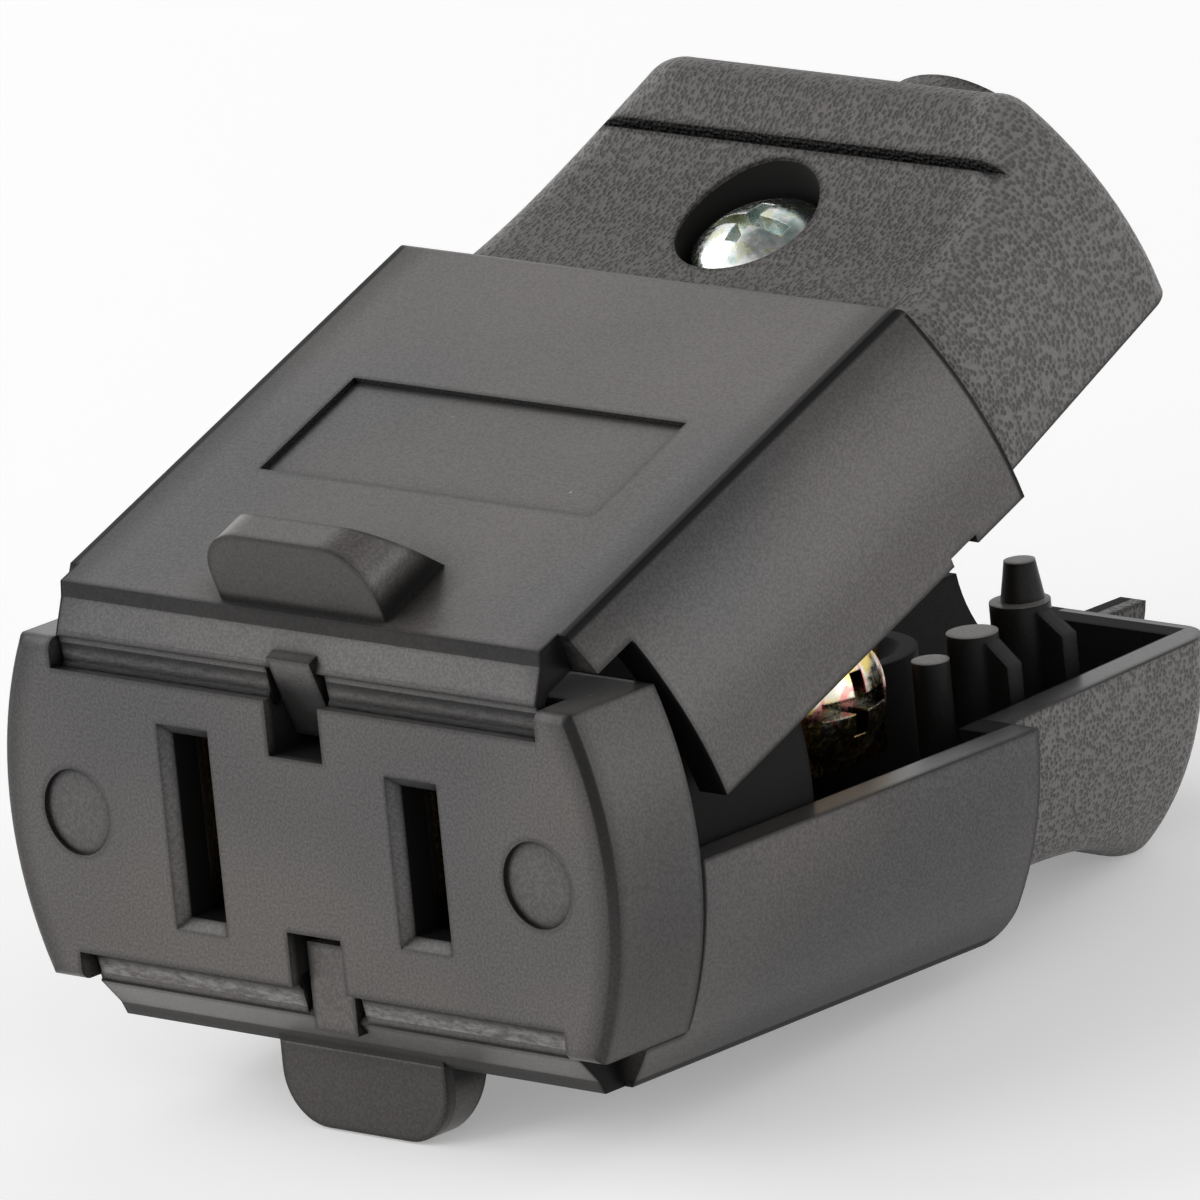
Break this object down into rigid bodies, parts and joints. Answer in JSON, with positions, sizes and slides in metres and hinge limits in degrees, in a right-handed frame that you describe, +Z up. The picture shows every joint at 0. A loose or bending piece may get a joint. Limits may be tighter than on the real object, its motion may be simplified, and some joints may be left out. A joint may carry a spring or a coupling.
{
  "type": "straight blade cord connector",
  "caption": "Black moulded two-pole polarised cord connector whose hinged covers open for wiring, the upper one standing ajar, with a clamp screw over the cord neck.",
  "frame": {"origin": "middle of the slotted face, on its front plane", "axes": "+X to the right across the face seen from the front, +Y from the face to the cord, +Z up towards the opened cover"},
  "size_m": [0.034, 0.0456, 0.0366],
  "materials": {
    "face_plastic": "satin moulded black plastic",
    "cover_plastic": "satin moulded black plastic, grained on the neck",
    "contact_brass": "bright stamped brass strip",
    "silver_screw": "bright zinc plating",
    "gold_screw": "yellow passivated steel"
  },
  "bodies": {
    "face": {"face_block": "face_plastic", "neutral_contact": "contact_brass", "hot_contact": "contact_brass"},
    "upper_shell": {"upper_cover": "cover_plastic"},
    "lower_shell": {"lower_cover": "cover_plastic", "neutral_wire_guide": "cover_plastic", "hot_wire_guide": "cover_plastic"},
    "clamp": {"clamp_screw": "silver_screw"},
    "neutral_terminal": {"neutral_screw": "silver_screw"},
    "hot_terminal": {"hot_screw": "gold_screw"}
  },
  "joints": [
    {"name": "upper_hinge", "type": "hinge", "parent": "face", "child": "upper_shell", "pos_m": [0, 0.0009, 0.0061], "axis": [1, 0, 0], "range_deg": [-21.2, 38.8]},
    {"name": "lower_hinge", "type": "hinge", "parent": "face", "child": "lower_shell", "pos_m": [0, 0.0009, -0.0061], "axis": [-1, 0, 0], "range_deg": [0, 60]},
    {"name": "clamp_slide", "type": "slide", "parent": "upper_shell", "child": "clamp", "axis": [0, -0.3616, 0.9323], "range_m": [0, 0.004]},
    {"name": "neutral_slide", "type": "slide", "parent": "face", "child": "neutral_terminal", "axis": [-1, 0, 0], "range_m": [0, 0.0016]},
    {"name": "hot_slide", "type": "slide", "parent": "face", "child": "hot_terminal", "axis": [1, 0, 0], "range_m": [0, 0.0016]}
  ]
}
